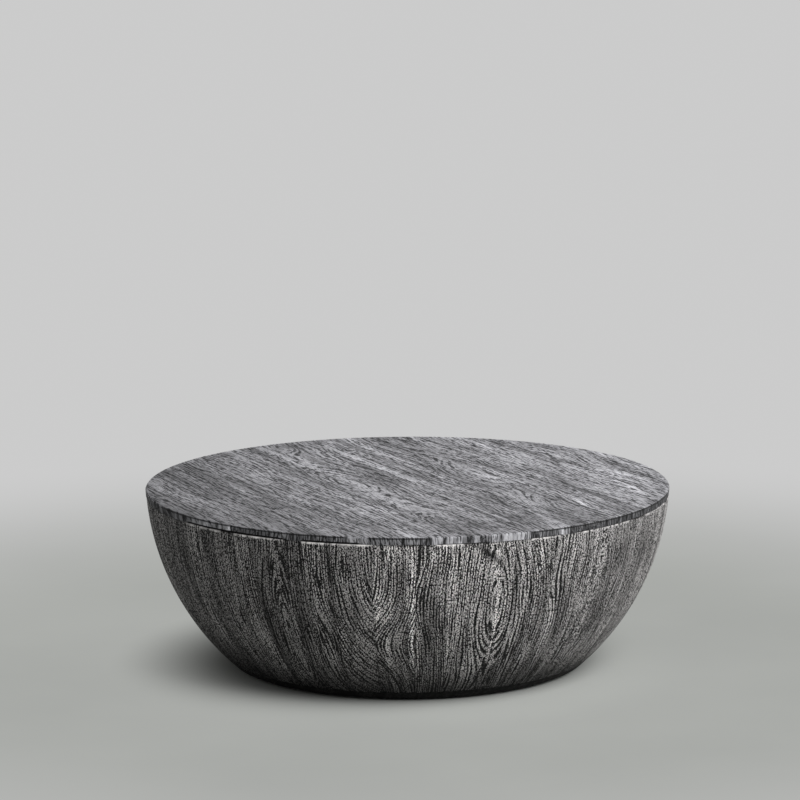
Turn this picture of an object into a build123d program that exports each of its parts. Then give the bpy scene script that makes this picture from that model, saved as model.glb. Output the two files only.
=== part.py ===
from build123d import *
import math
import os

# A low round coffee table, coopered like a shallow drum. Upright staves are glued edge to
# edge and turned to a bowl curve, and a planked top and a planked base board close the bowl.
# Millimetres, +Z up, origin on the floor at the table's axis, -Y the front.
# Azimuths are degrees round the axis from the front, positive towards +X.

# Overall shape
TABLE_HEIGHT = 305.0
RIM_RADIUS = 444.5  # where the bowl curve meets the top face
FOOT_RADIUS = 296.0  # where the bowl curve meets the underside of the base board
WALL_CURVE_RADIUS = 431.0  # the bowl curve is one arc from foot to rim

# Thicknesses of the boards
TOP_THICKNESS = 12.5
BASE_THICKNESS = 15.0
STAVE_THICKNESS = 28.0  # square to the bowl curve, at the middle of a stave

# How the top and the base board are laid: widths from -X to +X, ripped to fill the board
GRAIN_TURN = 25.0  # the planks' long edges, turned from +Y towards -X
TOP_PLANK_WIDTHS = (41.5, 101.0, 108.0, 90.0, 118.0, 76.0, 75.0, 75.0, 85.0, 119.5)
BASE_PLANK_WIDTHS = (132.5, 120.0, 120.0, 120.0, 132.5)

# How the wall is laid: the front boards as they fall, the rest in a wide and narrow rhythm
FRONT_SEAMS = (-35.2, -26.3, -16.7, -7.8, 1.7, 10.0, 23.6, 33.0, 43.6, 53.7)
REAR_STAVES = 26
REAR_SEAM_SHIFT = 1.1

# Worn and eased edges
TOP_ARRIS = 1.6  # bevel of the top's upper edge
JOINT_ARRIS = 0.8  # each half of the V along the joint of the top and the wall
FOOT_ARRIS = 4.0  # bevel under the base board

# Dowels, one at each end of a stave
DOWEL_RADIUS = 4.0
DOWEL_IN_BOARD = 8.0
DOWEL_IN_STAVE = 12.0
DOWEL_FROM_FACE = 15.0  # the dowel's axis, in from the outer face at the joint
BASE_DOWEL_FROM_FACE = 19.0

# Cleats, screwed across the planks inside the bowl
CLEAT_WIDTH = 55.0
CLEAT_THICKNESS = 20.0
TOP_CLEAT_OFFSET = 150.0  # from the axis to the cleat's centre line
BASE_CLEAT_OFFSET = 100.0
CLEAT_END_GAP = 3.0
CLEAT_END_CHAMFER = 8.0

# Countersunk cleat screws
SCREW_HEAD_RADIUS = 4.0
SCREW_HEAD_ANGLE = 90.0
SCREW_SHANK_RADIUS = 2.0
SCREW_LENGTH = 28.0
SCREW_POINT = 4.0
SCREW_SLOT_WIDTH = 0.9
SCREW_SLOT_LENGTH = 4.4
SCREW_SLOT_DEPTH = 1.3
SCREW_END_MARGIN = 20.0  # least distance from a screw to the end of its cleat
SCREW_EDGE_MARGIN = 15.0  # least distance from a screw to a plank's edge

# Nail-on glides under the base board
GLIDE_COUNT = 6
GLIDE_RADIUS = 12.0
GLIDE_THICKNESS = 2.5
GLIDE_EDGE = 0.8
GLIDE_FROM_EDGE = 18.0  # clear wood between a glide and the foot's bevel
GLIDE_FIRST = 30.0  # degrees from the line across the planks
GLIDE_PIN_RADIUS = 1.5
GLIDE_PIN_LENGTH = 11.0

HOLE_CLEARANCE = 0.15  # radial, round dowels, screws and pins
BOTTOM_CLEARANCE = 0.5  # past the end of a dowel, screw or pin

# Heights that follow from the boards
BASE_UNDERSIDE = GLIDE_THICKNESS
BASE_TOP = BASE_UNDERSIDE + BASE_THICKNESS
TOP_UNDERSIDE = TABLE_HEIGHT - TOP_THICKNESS

# Centre of the bowl curve, in radius and height
CHORD_RISE = TABLE_HEIGHT - BASE_UNDERSIDE
CHORD_RUN = RIM_RADIUS - FOOT_RADIUS
HALF_CHORD = math.hypot(CHORD_RISE, CHORD_RUN) / 2
CENTRE_SETBACK = math.sqrt(WALL_CURVE_RADIUS**2 - HALF_CHORD**2)
CURVE_CENTRE_R = (RIM_RADIUS + FOOT_RADIUS - CENTRE_SETBACK * CHORD_RISE / HALF_CHORD) / 2
CURVE_CENTRE_Z = (TABLE_HEIGHT + BASE_UNDERSIDE + CENTRE_SETBACK * CHORD_RUN / HALF_CHORD) / 2

CENTRE_FLOOR = (Align.CENTER, Align.CENTER, Align.MIN)
FULL_TURN = 360


def wall_radius(height, depth=0.0):
    """Radius of the bowl curve at a height, at a depth in from its outer face."""
    reach = WALL_CURVE_RADIUS - depth
    return CURVE_CENTRE_R + math.sqrt(reach**2 - (CURVE_CENTRE_Z - height) ** 2)


def outward(azimuth):
    """Unit vector from the axis at an azimuth."""
    turn = math.radians(azimuth)
    return Vector(math.sin(turn), -math.cos(turn), 0)


def upright_plane(azimuth):
    """The plane through the axis at an azimuth: local X outward, local Y up."""
    across = outward(azimuth)
    return Plane(origin=(0, 0, 0), x_dir=across, z_dir=across.cross(Vector(0, 0, 1)))


def grain_plane(height):
    """A level plane with local X across the planks and local Y along them."""
    turn = math.radians(GRAIN_TURN)
    return Plane(origin=(0, 0, height), x_dir=(math.cos(turn), math.sin(turn), 0), z_dir=(0, 0, 1))


def wall_section(low, high, depth=0.0):
    """Face of the bowl from the axis out to its curve, between two heights."""
    foot = (wall_radius(low, depth), low)
    rim = (wall_radius(high, depth), high)
    with BuildSketch() as section:
        with BuildLine():
            RadiusArc(foot, rim, depth - WALL_CURVE_RADIUS)
            Polyline(rim, (0, high), (0, low), foot)
        make_face()
    return section.sketch


def outer_corner(sketch, upper):
    """The sketch's outermost corner on its upper or lower edge."""
    level = sketch.vertices().group_by(Axis.Y)[-1 if upper else 0]
    return level.sort_by(Axis.X)[-1]


def drill(points, height, radius, depth):
    """Blind holes upward from a height, cut out of the part in hand."""
    if points:
        with Locations(*[(x, y, height) for x, y in points]):
            Cylinder(radius, depth, align=CENTRE_FLOOR, mode=Mode.SUBTRACT)


def save(part, name):
    """Labels a finished piece and writes its file."""
    part.label = name
    export_step(part, f"parts/{name}.step")


def grain_point(across, along):
    """Floor-plan point from its places across and along the planks."""
    spot = grain_plane(0).from_local_coords(Vector(across, along, 0))
    return (spot.X, spot.Y)


def across_grain(point):
    """A floor-plan point's place across the planks."""
    return grain_plane(0).to_local_coords(Vector(point[0], point[1], 0)).X


def strip_edges(widths, radius):
    """Edges of the planks that fill a round board of this radius."""
    rip = 2 * radius / sum(widths)
    return [rip * sum(widths[:i]) - radius for i in range(len(widths) + 1)]


def near_strip(points, low, high, reach):
    """The points whose holes cut into the plank between two edges."""
    return [p for p in points if low - reach < across_grain(p) < high + reach]


def cleat_half_length(offset, narrowest):
    """Half the length that a cleat has inside a bowl of this radius."""
    return math.sqrt(narrowest**2 - (offset + CLEAT_WIDTH / 2) ** 2) - CLEAT_END_GAP


def cleat_screw_places(edges, half_length):
    """Where a cleat's screws stand across the planks, one to a plank that it reaches."""
    reach = half_length - SCREW_END_MARGIN
    places = []
    for low, high in zip(edges, edges[1:]):
        place = max(-reach, min(reach, (low + high) / 2))
        if low + SCREW_EDGE_MARGIN < place < high - SCREW_EDGE_MARGIN:
            places.append(place)
    return places


# Seams of the wall, all the way round
rear_start = FRONT_SEAMS[-1]
rear_end = FRONT_SEAMS[0] + FULL_TURN
rear_step = (rear_end - rear_start) / REAR_STAVES
rear_seams = [
    rear_start + rear_step * i + REAR_SEAM_SHIFT * (i % 2) for i in range(1, REAR_STAVES)
]
stave_seams = list(FRONT_SEAMS) + rear_seams + [rear_end]
stave_middles = [(low + high) / 2 for low, high in zip(stave_seams, stave_seams[1:])]

# Dowels stand upright in the middle of each stave's two ends
top_dowel_ring = wall_radius(TOP_UNDERSIDE) - DOWEL_FROM_FACE
base_dowel_ring = wall_radius(BASE_TOP) - BASE_DOWEL_FROM_FACE
top_dowel_points = [tuple(outward(m) * top_dowel_ring)[:2] for m in stave_middles]
base_dowel_points = [tuple(outward(m) * base_dowel_ring)[:2] for m in stave_middles]
dowel_hole_radius = DOWEL_RADIUS + HOLE_CLEARANCE

# Planks of the two boards, and the cleats across them
top_edges = strip_edges(TOP_PLANK_WIDTHS, RIM_RADIUS)
base_edges = strip_edges(BASE_PLANK_WIDTHS, wall_radius(BASE_TOP))

top_cleat_low = TOP_UNDERSIDE - CLEAT_THICKNESS
top_cleat_half = cleat_half_length(
    TOP_CLEAT_OFFSET, wall_radius(top_cleat_low, STAVE_THICKNESS)
)
base_cleat_half = cleat_half_length(BASE_CLEAT_OFFSET, wall_radius(BASE_TOP, STAVE_THICKNESS))
top_screw_places = cleat_screw_places(top_edges, top_cleat_half)
base_screw_places = cleat_screw_places(base_edges, base_cleat_half)
top_screw_points = [
    grain_point(s, side * TOP_CLEAT_OFFSET) for side in (-1, 1) for s in top_screw_places
]
base_screw_points = [
    grain_point(s, side * BASE_CLEAT_OFFSET) for side in (-1, 1) for s in base_screw_places
]
screw_hole_radius = SCREW_SHANK_RADIUS + HOLE_CLEARANCE
screw_in_board = SCREW_LENGTH - CLEAT_THICKNESS + BOTTOM_CLEARANCE

glide_ring = FOOT_RADIUS - FOOT_ARRIS - GLIDE_FROM_EDGE - GLIDE_RADIUS
glide_points = []
for i in range(GLIDE_COUNT):
    turn = math.radians(GLIDE_FIRST + i * FULL_TURN / GLIDE_COUNT)
    glide_points.append(grain_point(glide_ring * math.cos(turn), glide_ring * math.sin(turn)))

os.makedirs("parts", exist_ok=True)


# --- Top planks: a flat round board, its edge turned with the wall ---
for number, (low, high) in enumerate(zip(top_edges, top_edges[1:]), start=1):
    with BuildPart() as top_plank:
        with BuildSketch(Plane.XZ) as top_section:
            add(wall_section(TOP_UNDERSIDE, TABLE_HEIGHT))
            chamfer(outer_corner(top_section, True), TOP_ARRIS)
            chamfer(outer_corner(top_section, False), JOINT_ARRIS)
        revolve(axis=Axis.Z)
        with BuildSketch(grain_plane(TOP_UNDERSIDE)):
            with Locations(((low + high) / 2, 0)):
                Rectangle(high - low, 2 * RIM_RADIUS)
        extrude(amount=TOP_THICKNESS, mode=Mode.INTERSECT)
        drill(
            near_strip(top_dowel_points, low, high, dowel_hole_radius),
            TOP_UNDERSIDE,
            dowel_hole_radius,
            DOWEL_IN_BOARD + BOTTOM_CLEARANCE,
        )
        drill(
            near_strip(top_screw_points, low, high, 0),
            TOP_UNDERSIDE,
            screw_hole_radius,
            screw_in_board,
        )
    save(top_plank.part, f"top_plank_{number:02d}")


# --- Staves: sawn hollow inside, mitred to their neighbours, turned outside ---
for number, (low, high) in enumerate(zip(stave_seams, stave_seams[1:]), start=1):
    middle = (low + high) / 2
    with BuildPart() as stave:
        with BuildSketch(upright_plane(low)) as stave_section:
            add(wall_section(BASE_TOP, TOP_UNDERSIDE))
            chamfer(outer_corner(stave_section, True), JOINT_ARRIS)
        revolve(axis=Axis.Z, revolution_arc=high - low)
        with BuildSketch(upright_plane(middle)):
            add(wall_section(BASE_TOP, TOP_UNDERSIDE, STAVE_THICKNESS))
        extrude(amount=RIM_RADIUS, both=True, mode=Mode.SUBTRACT)
        drill(
            [tuple(outward(middle) * top_dowel_ring)[:2]],
            TOP_UNDERSIDE - DOWEL_IN_STAVE - BOTTOM_CLEARANCE,
            dowel_hole_radius,
            DOWEL_IN_STAVE + BOTTOM_CLEARANCE,
        )
        drill(
            [tuple(outward(middle) * base_dowel_ring)[:2]],
            BASE_TOP,
            dowel_hole_radius,
            DOWEL_IN_STAVE + BOTTOM_CLEARANCE,
        )
    save(stave.part, f"stave_{number:02d}")


# --- Base board planks: the wall's curve runs on down over their edge ---
for number, (low, high) in enumerate(zip(base_edges, base_edges[1:]), start=1):
    with BuildPart() as base_plank:
        with BuildSketch(Plane.XZ) as base_section:
            add(wall_section(BASE_UNDERSIDE, BASE_TOP))
            chamfer(outer_corner(base_section, False), FOOT_ARRIS)
        revolve(axis=Axis.Z)
        with BuildSketch(grain_plane(BASE_UNDERSIDE)):
            with Locations(((low + high) / 2, 0)):
                Rectangle(high - low, 2 * RIM_RADIUS)
        extrude(amount=BASE_THICKNESS, mode=Mode.INTERSECT)
        drill(
            near_strip(base_dowel_points, low, high, dowel_hole_radius),
            BASE_TOP - DOWEL_IN_BOARD - BOTTOM_CLEARANCE,
            dowel_hole_radius,
            DOWEL_IN_BOARD + BOTTOM_CLEARANCE,
        )
        drill(
            near_strip(base_screw_points, low, high, 0),
            BASE_TOP - screw_in_board,
            screw_hole_radius,
            screw_in_board,
        )
        drill(
            near_strip(glide_points, low, high, 0),
            BASE_UNDERSIDE,
            GLIDE_PIN_RADIUS + HOLE_CLEARANCE,
            GLIDE_PIN_LENGTH + BOTTOM_CLEARANCE,
        )
    save(base_plank.part, f"base_plank_{number}")


# --- Cleats: straight battens with sloped ends, which hold the planks level ---
def make_cleat(name, offset, half_length, joint_face, away, places):
    """A cleat on a board's inner face, which it stands away from: 1 is up, -1 is down."""
    across = grain_plane(0).x_dir
    centre_line = grain_plane(joint_face).from_local_coords(Vector(0, offset, 0))
    short = half_length - CLEAT_END_CHAMFER
    with BuildPart() as cleat:
        with BuildSketch(Plane(centre_line, x_dir=across, z_dir=across.cross(Vector(0, 0, away)))):
            with BuildLine():
                Polyline(
                    (-half_length, 0),
                    (half_length, 0),
                    (short, CLEAT_THICKNESS),
                    (-short, CLEAT_THICKNESS),
                    close=True,
                )
            make_face()
        extrude(amount=CLEAT_WIDTH / 2, both=True)
        head_centre = centre_line + Vector(0, 0, away * CLEAT_THICKNESS)
        with Locations(Plane(head_centre, x_dir=across, z_dir=(0, 0, away))):
            with Locations(*[(place, 0) for place in places]):
                CounterSinkHole(
                    screw_hole_radius,
                    SCREW_HEAD_RADIUS + HOLE_CLEARANCE,
                    counter_sink_angle=SCREW_HEAD_ANGLE,
                )
    save(cleat.part, name)


for side, name in ((-1, "front"), (1, "back")):
    make_cleat(
        f"top_cleat_{name}",
        side * TOP_CLEAT_OFFSET,
        top_cleat_half,
        TOP_UNDERSIDE,
        -1,
        top_screw_places,
    )
    make_cleat(
        f"base_cleat_{name}",
        side * BASE_CLEAT_OFFSET,
        base_cleat_half,
        BASE_TOP,
        1,
        base_screw_places,
    )


# --- Cleat screws: countersunk, cross slotted, driven from inside the bowl ---
screw_head_slope = math.tan(math.radians(SCREW_HEAD_ANGLE / 2))
screw_head_depth = (SCREW_HEAD_RADIUS - SCREW_SHANK_RADIUS) / screw_head_slope

with BuildPart() as screw:
    with BuildSketch(Plane.XZ):
        with BuildLine():
            Polyline(
                (0, 0),
                (SCREW_HEAD_RADIUS, 0),
                (SCREW_SHANK_RADIUS, -screw_head_depth),
                (SCREW_SHANK_RADIUS, SCREW_POINT - SCREW_LENGTH),
                (0, -SCREW_LENGTH),
                close=True,
            )
        make_face()
    revolve(axis=Axis.Z)
    with BuildSketch(Plane.XY):
        Rectangle(SCREW_SLOT_LENGTH, SCREW_SLOT_WIDTH)
        Rectangle(SCREW_SLOT_WIDTH, SCREW_SLOT_LENGTH)
    extrude(amount=-SCREW_SLOT_DEPTH, mode=Mode.SUBTRACT)

with BuildPart() as cleat_screws:
    for x, y in base_screw_points:
        with Locations(Plane(origin=(x, y, BASE_TOP + CLEAT_THICKNESS))):
            add(screw.part)
    for x, y in top_screw_points:
        with Locations(Plane(origin=(x, y, top_cleat_low), z_dir=(0, 0, -1))):
            add(screw.part)
save(cleat_screws.part, "cleat_screws")


# --- Dowels: beech pins across the joints of the wall with the top and the base board ---
with BuildPart() as stave_dowels:
    dowel_length = DOWEL_IN_BOARD + DOWEL_IN_STAVE
    with Locations(*[(x, y, TOP_UNDERSIDE - DOWEL_IN_STAVE) for x, y in top_dowel_points]):
        Cylinder(DOWEL_RADIUS, dowel_length, align=CENTRE_FLOOR)
    with Locations(*[(x, y, BASE_TOP - DOWEL_IN_BOARD) for x, y in base_dowel_points]):
        Cylinder(DOWEL_RADIUS, dowel_length, align=CENTRE_FLOOR)
save(stave_dowels.part, "stave_dowels")


# --- Glides: moulded discs, each on its own pin, under the base board ---
with BuildPart() as glide:
    with BuildSketch(Plane.XY):
        Circle(GLIDE_RADIUS)
    extrude(amount=GLIDE_THICKNESS)
    fillet(glide.edges().group_by(Axis.Z)[0], GLIDE_EDGE)
    with BuildSketch(Plane.XY.offset(GLIDE_THICKNESS)):
        Circle(GLIDE_PIN_RADIUS)
    extrude(amount=GLIDE_PIN_LENGTH)

with BuildPart() as floor_glides:
    with Locations(*[(x, y, 0) for x, y in glide_points]):
        add(glide.part)
save(floor_glides.part, "floor_glides")
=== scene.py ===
import math

import bmesh
import bpy
import numpy as np
from mathutils import Matrix, Vector


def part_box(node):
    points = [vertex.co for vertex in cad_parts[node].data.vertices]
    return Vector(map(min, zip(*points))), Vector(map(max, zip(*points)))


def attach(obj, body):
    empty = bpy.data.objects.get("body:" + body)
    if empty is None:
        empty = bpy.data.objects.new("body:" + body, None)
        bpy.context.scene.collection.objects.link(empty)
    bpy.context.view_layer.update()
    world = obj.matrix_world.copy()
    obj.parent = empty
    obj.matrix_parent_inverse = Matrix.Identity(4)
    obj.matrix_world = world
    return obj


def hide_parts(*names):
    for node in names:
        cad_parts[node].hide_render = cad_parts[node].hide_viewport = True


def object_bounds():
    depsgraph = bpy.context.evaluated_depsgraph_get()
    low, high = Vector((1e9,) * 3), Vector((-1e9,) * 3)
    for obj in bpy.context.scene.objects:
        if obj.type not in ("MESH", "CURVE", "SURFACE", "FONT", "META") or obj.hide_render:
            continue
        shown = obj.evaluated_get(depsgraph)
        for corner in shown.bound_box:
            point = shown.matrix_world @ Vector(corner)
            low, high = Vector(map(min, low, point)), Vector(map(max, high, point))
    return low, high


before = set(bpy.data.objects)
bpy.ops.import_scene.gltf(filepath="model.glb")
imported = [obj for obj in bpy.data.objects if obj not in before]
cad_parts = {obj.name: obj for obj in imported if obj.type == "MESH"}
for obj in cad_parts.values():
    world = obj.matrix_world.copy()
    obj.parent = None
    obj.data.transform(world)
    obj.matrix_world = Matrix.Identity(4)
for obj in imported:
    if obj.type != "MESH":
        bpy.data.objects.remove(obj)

# A low round coffee table, coopered like a shallow drum: planks for the base and the top, and
# upright staves between them, turned to a bowl curve, stained black, wire brushed and limed.
# Metres, +Z up, the table's axis at the origin, -Y the front. Azimuths are degrees round the
# axis from the front, positive towards +X.
MM = 0.001
cad_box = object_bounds()


# --- Base board -----------------------------------------------------------------------------
# Five planks of black-stained wood, glued into one round board that closes the bowl at the
# floor. The wall's curve runs on down over its edge, and the lathe has bevelled its underside.
class Value:
    """A shader socket that reads like a number: sums and products on it add Math nodes."""

    def __init__(self, finish, socket):
        self.finish = finish
        self.socket = socket

    def math(self, operation, *operands):
        return self.finish.node("Math", {"operation": operation}, dict(enumerate(operands)))

    def __add__(self, other):
        return self.math("ADD", self, other)

    def __radd__(self, other):
        return self.math("ADD", other, self)

    def __sub__(self, other):
        return self.math("SUBTRACT", self, other)

    def __rsub__(self, other):
        return self.math("SUBTRACT", other, self)

    def __mul__(self, other):
        return self.math("MULTIPLY", self, other)

    def __rmul__(self, other):
        return self.math("MULTIPLY", other, self)

    def __truediv__(self, other):
        return self.math("DIVIDE", self, other)

    def __rtruediv__(self, other):
        return self.math("DIVIDE", other, self)

    def above(self, low, high):
        """A smooth step: 0 below low and 1 above high."""
        ends = {"Value": self, "From Min": low, "From Max": high}
        return self.finish.node("MapRange", {"interpolation_type": "SMOOTHSTEP"}, ends)


class Finish:
    """A material or a sky in the making. node() adds any shader node to it."""

    def __init__(self, name, store=bpy.data.materials):
        self.material = store.new(name)
        self.material.use_nodes = True
        self.tree = self.material.node_tree
        self.tree.nodes.clear()

    def node(self, kind, settings=None, sockets=None, output=0):
        """Adds a node, sets it up, fills its sockets with values or links, and gives an output."""
        made = self.tree.nodes.new("ShaderNode" + kind)
        for name, value in (settings or {}).items():
            setattr(made, name, value)
        for key, value in (sockets or {}).items():
            if isinstance(value, Value):
                self.tree.links.new(value.socket, made.inputs[key])
            else:
                made.inputs[key].default_value = value
        return Value(self, made.outputs[output]) if made.outputs else None

    def number(self, attribute):
        """A number that the mesh holds at each of its points."""
        return self.node("Attribute", {"attribute_name": attribute}, output="Fac")

    def flecks(self, place, sizes, detail=2):
        """Noise over a place, in flecks of these sizes along its three ways. A size of none
        leaves that way out."""
        shrink = tuple(1 / size if size else 0 for size in sizes)
        spot = self.node("VectorMath", {"operation": "MULTIPLY"}, {0: place, 1: shrink})
        return self.node("TexNoise", {}, {"Vector": spot, "Scale": 1, "Detail": detail})

    def blend(self, factor, first, second):
        """A colour between two colours, which go into the Mix node's last two sockets."""
        return self.node("Mix", {"data_type": "RGBA"}, {0: factor, 6: first, 7: second}, 2)

    def shaded(self, colour, factor):
        """A colour made darker or lighter."""
        return self.node("VectorMath", {"operation": "SCALE"}, {0: colour, "Scale": factor})

    def seen(self):
        """1 where the camera looks, also in a mirror or through glass, and 0 for the light."""
        rays = ("Is Camera Ray", "Is Glossy Ray", "Is Transmission Ray")
        looks, mirrored, through = (self.node("LightPath", output=ray) for ray in rays)
        return (looks + mirrored + through).above(0, 1)

    def surface(self, sockets):
        """Ends the material with its Principled shader, and gives it."""
        shader = self.node("BsdfPrincipled", {}, sockets)
        self.node("OutputMaterial", {}, {"Surface": shader})
        return self.material


# The noise that leaves a fleck, where it begins and where it is full: beads of lime on the
# ridges, and pores that the lime has missed
BEAD_NOISE = (0.44, 0.56)
PORE_NOISE = (0.52, 0.6)
BRUSHED_BUMP = 0.4 * MM


def brushed_wood(name, stain, lime, share, bead, wax, gloss):
    """Stained wood, its soft grain brushed away and its ridges limed. share is where the lime
    begins and where it covers, between the deepest groove and the barest ridge. A bead of
    lime is this wide and long. wax is how rough the waxed lime is, and gloss how much the
    wood shines."""
    finish = Finish(name)
    carve = finish.number("carve")
    bare_and_sheen = finish.number("bare_and_sheen")
    grain = finish.node("Attribute", {"attribute_name": "grain"}, output="Vector")
    wide, long = bead
    beads = finish.flecks(grain, (wide, long, None)).above(*BEAD_NOISE)
    pores = finish.flecks(grain, (wide, 2 * long, wide)).above(*PORE_NOISE) * (1 - bare_and_sheen)
    # The number read above lifts the lime share: real bare wear, and painted sheen on the wall's
    # lamp side
    limed = carve * 0.5 + beads * 0.5 - pores * 0.35 + bare_and_sheen
    limed = limed.above(*share)
    colour = finish.blend(limed, (*stain, 1), (*lime, 1))
    colour = finish.shaded(colour, finish.number("tone"))
    height = carve * 0.5 + beads * 0.4 - pores * 0.7
    relief = {"Height": height, "Distance": BRUSHED_BUMP, "Strength": 0.8}
    bump = finish.node("Bump", {}, relief)
    rough = (1 - limed) * 0.12 + pores * 0.1 + wax
    return finish.surface(
        {"Base Color": colour, "Roughness": rough, "Normal": bump, "Specular IOR Level": gloss}
    )


def step(value, low, high):
    """A smooth step: 0 below low and 1 above high."""
    share = np.clip((value - low) / (high - low), 0, 1)
    return share * share * (3 - 2 * share)


def drawn(column, row, seed):
    """A random number from 0 to 1 for each pair of whole numbers. Large odd factors scatter
    their bits."""
    mixed = (column * 374761393 + row * 668265263 + seed * 1442695041) & 0xFFFFFFFF
    mixed = ((mixed ^ (mixed >> 13)) * 1274126177) & 0xFFFFFFFF
    return ((mixed ^ (mixed >> 16)) & 0xFFFF) / 0xFFFF


def noise(across, along, seed):
    """Smooth noise from 0 to 1 over a plane, in strands one wide. A strand has a new value at
    each step along it, and starts at its own place, so that the steps don't line up."""
    across, along = np.broadcast_arrays(np.asarray(across, float), np.asarray(along, float))
    column = np.floor(across).astype(np.int64)

    def strand(number):
        place = along + drawn(number, 0, seed + 1000)
        row = np.floor(place).astype(np.int64)
        near, far = drawn(number, row, seed), drawn(number, row + 1, seed)
        return near + (far - near) * step(place - row, 0, 1)

    left, right = strand(column), strand(column + 1)
    return left + (right - left) * step(across - column, 0, 1)


def ring_radius(across, along, below, pith, seed):
    """How far a point of a board lies from the pith of its tree, which gives the grain its
    figure, and how fast that changes over the face, from 0 to 1. below is its depth under the
    face. The pith runs along the board, offset to a side, and sunk by a depth that leans by a
    slope and sways by a swing, a wave long, from a level on."""
    offset, depth, slope, swing, level, wave = pith
    turn = (along - level) * math.tau / wave
    sink = depth + slope * (along - level) + swing * np.cos(turn)
    fall = slope - swing * math.tau / wave * np.sin(turn)
    sway = 10 * MM * (noise(along / (150 * MM), 0, seed) - 0.5)
    wander = 5 * MM * (noise(across / (26 * MM), along / (110 * MM), seed + 1) - 0.5)
    ripple = 0.8 * MM * (noise(across / (12 * MM), along / (50 * MM), seed + 2) - 0.5)
    side = across - offset - sway
    ring = np.hypot(side, sink + below)
    steep = np.hypot(side, sink * fall) / (ring + MM)
    return ring + wander + ripple, steep


def streaks(ring, steep, across, along, width, length, seed):
    """Smooth noise from 0 to 1, drawn out along the grain. It follows the growth rings where
    those run out of the face, and the board elsewhere."""
    crowded = 2 * noise(across / (5 * width), along / (3 * length), seed + 2)
    ringed = noise(ring / width + crowded, along / length, seed)
    straight = noise(across / width + crowded, along / length, seed + 1)
    return straight + (ringed - straight) * step(steep, 0.1, 0.5)


def brushed(ring, steep, across, along, pitch, full, seed):
    """Relief of the brushed grain, 0 in a groove and 1 on a ridge, with its lines this far
    apart. The fuller the face, the narrower its grooves."""
    drift = noise(ring / (10 * MM), along / (60 * MM), seed + 3)
    lines = np.cos(math.tau * (ring / pitch + 1.5 * drift)) * step(steep, 0.1, 0.4)
    fine = streaks(ring, steep, across, along, pitch / 2, 9 * pitch, seed + 4)
    return step(0.34 * lines + 0.9 * fine - 0.45 + full, -0.2, 0.2)


def growth_tone(ring, across, along, width, seed):
    """Light and dark growth bands that run along a board, the narrow ones this wide."""
    leaning = across + 0.4 * ring
    bands = noise(leaning / width, along / (20 * width), seed + 8)
    broad = noise(leaning / (2.7 * width), along / (30 * width), seed + 9)
    clouds = noise(across / (25 * MM), along / (60 * MM), seed + 12)
    return 0.45 + 0.36 * step(bands, 0.15, 0.85) + 0.42 * step(broad, 0.15, 0.85) + 0.3 * clouds


def numbered(start):
    """The nodes of a row of like pieces, from 1 on."""
    return sorted(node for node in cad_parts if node.startswith(start) and node[-1].isdigit())


def fleck_places(number, across, along, ring):
    """Where the flecks of a board's finish lie. They are a metre on from board to board, so
    that no two boards are alike."""
    return np.stack([across + number, along, ring], -1)


def cad_points(node):
    """The corner points of a node's mesh, one row each."""
    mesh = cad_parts[node].data
    points = np.empty(len(mesh.vertices) * 3)
    mesh.vertices.foreach_get("co", points)
    return points.reshape(-1, 3)


def around(grid):
    """The border of a grid, once round: its start, its high side, its end and its low side."""
    return np.concatenate([grid[:, 0], grid[-1, 1:], grid[-2::-1, -1], grid[0, -2:0:-1]])


def weave(rows):
    """Quads between the neighbours in a grid of point numbers."""
    corners = [rows[:-1, :-1], rows[1:, :-1], rows[1:, 1:], rows[:-1, 1:]]
    return np.stack(corners, -1).reshape(-1, 4)


# The strips of a block's unwrapped map, from left to right
FACE_STRIP = (0, 0.62)
BACK_STRIP = (0.64, 0.78)
SIDE_STRIP = (0.8, 1)
# Two faces of a block meet in an edge, and not in a curve, where they turn by more than this
EDGE_TURN = math.radians(50)


def map_grid(shape, left, right):
    """Places on the unwrapped map for a grid, between two edges of an upright strip."""
    across, along = np.meshgrid(np.linspace(left, right, shape[0]), np.linspace(0, 1, shape[1]))
    return np.stack([across.T, along.T], -1)


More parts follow.
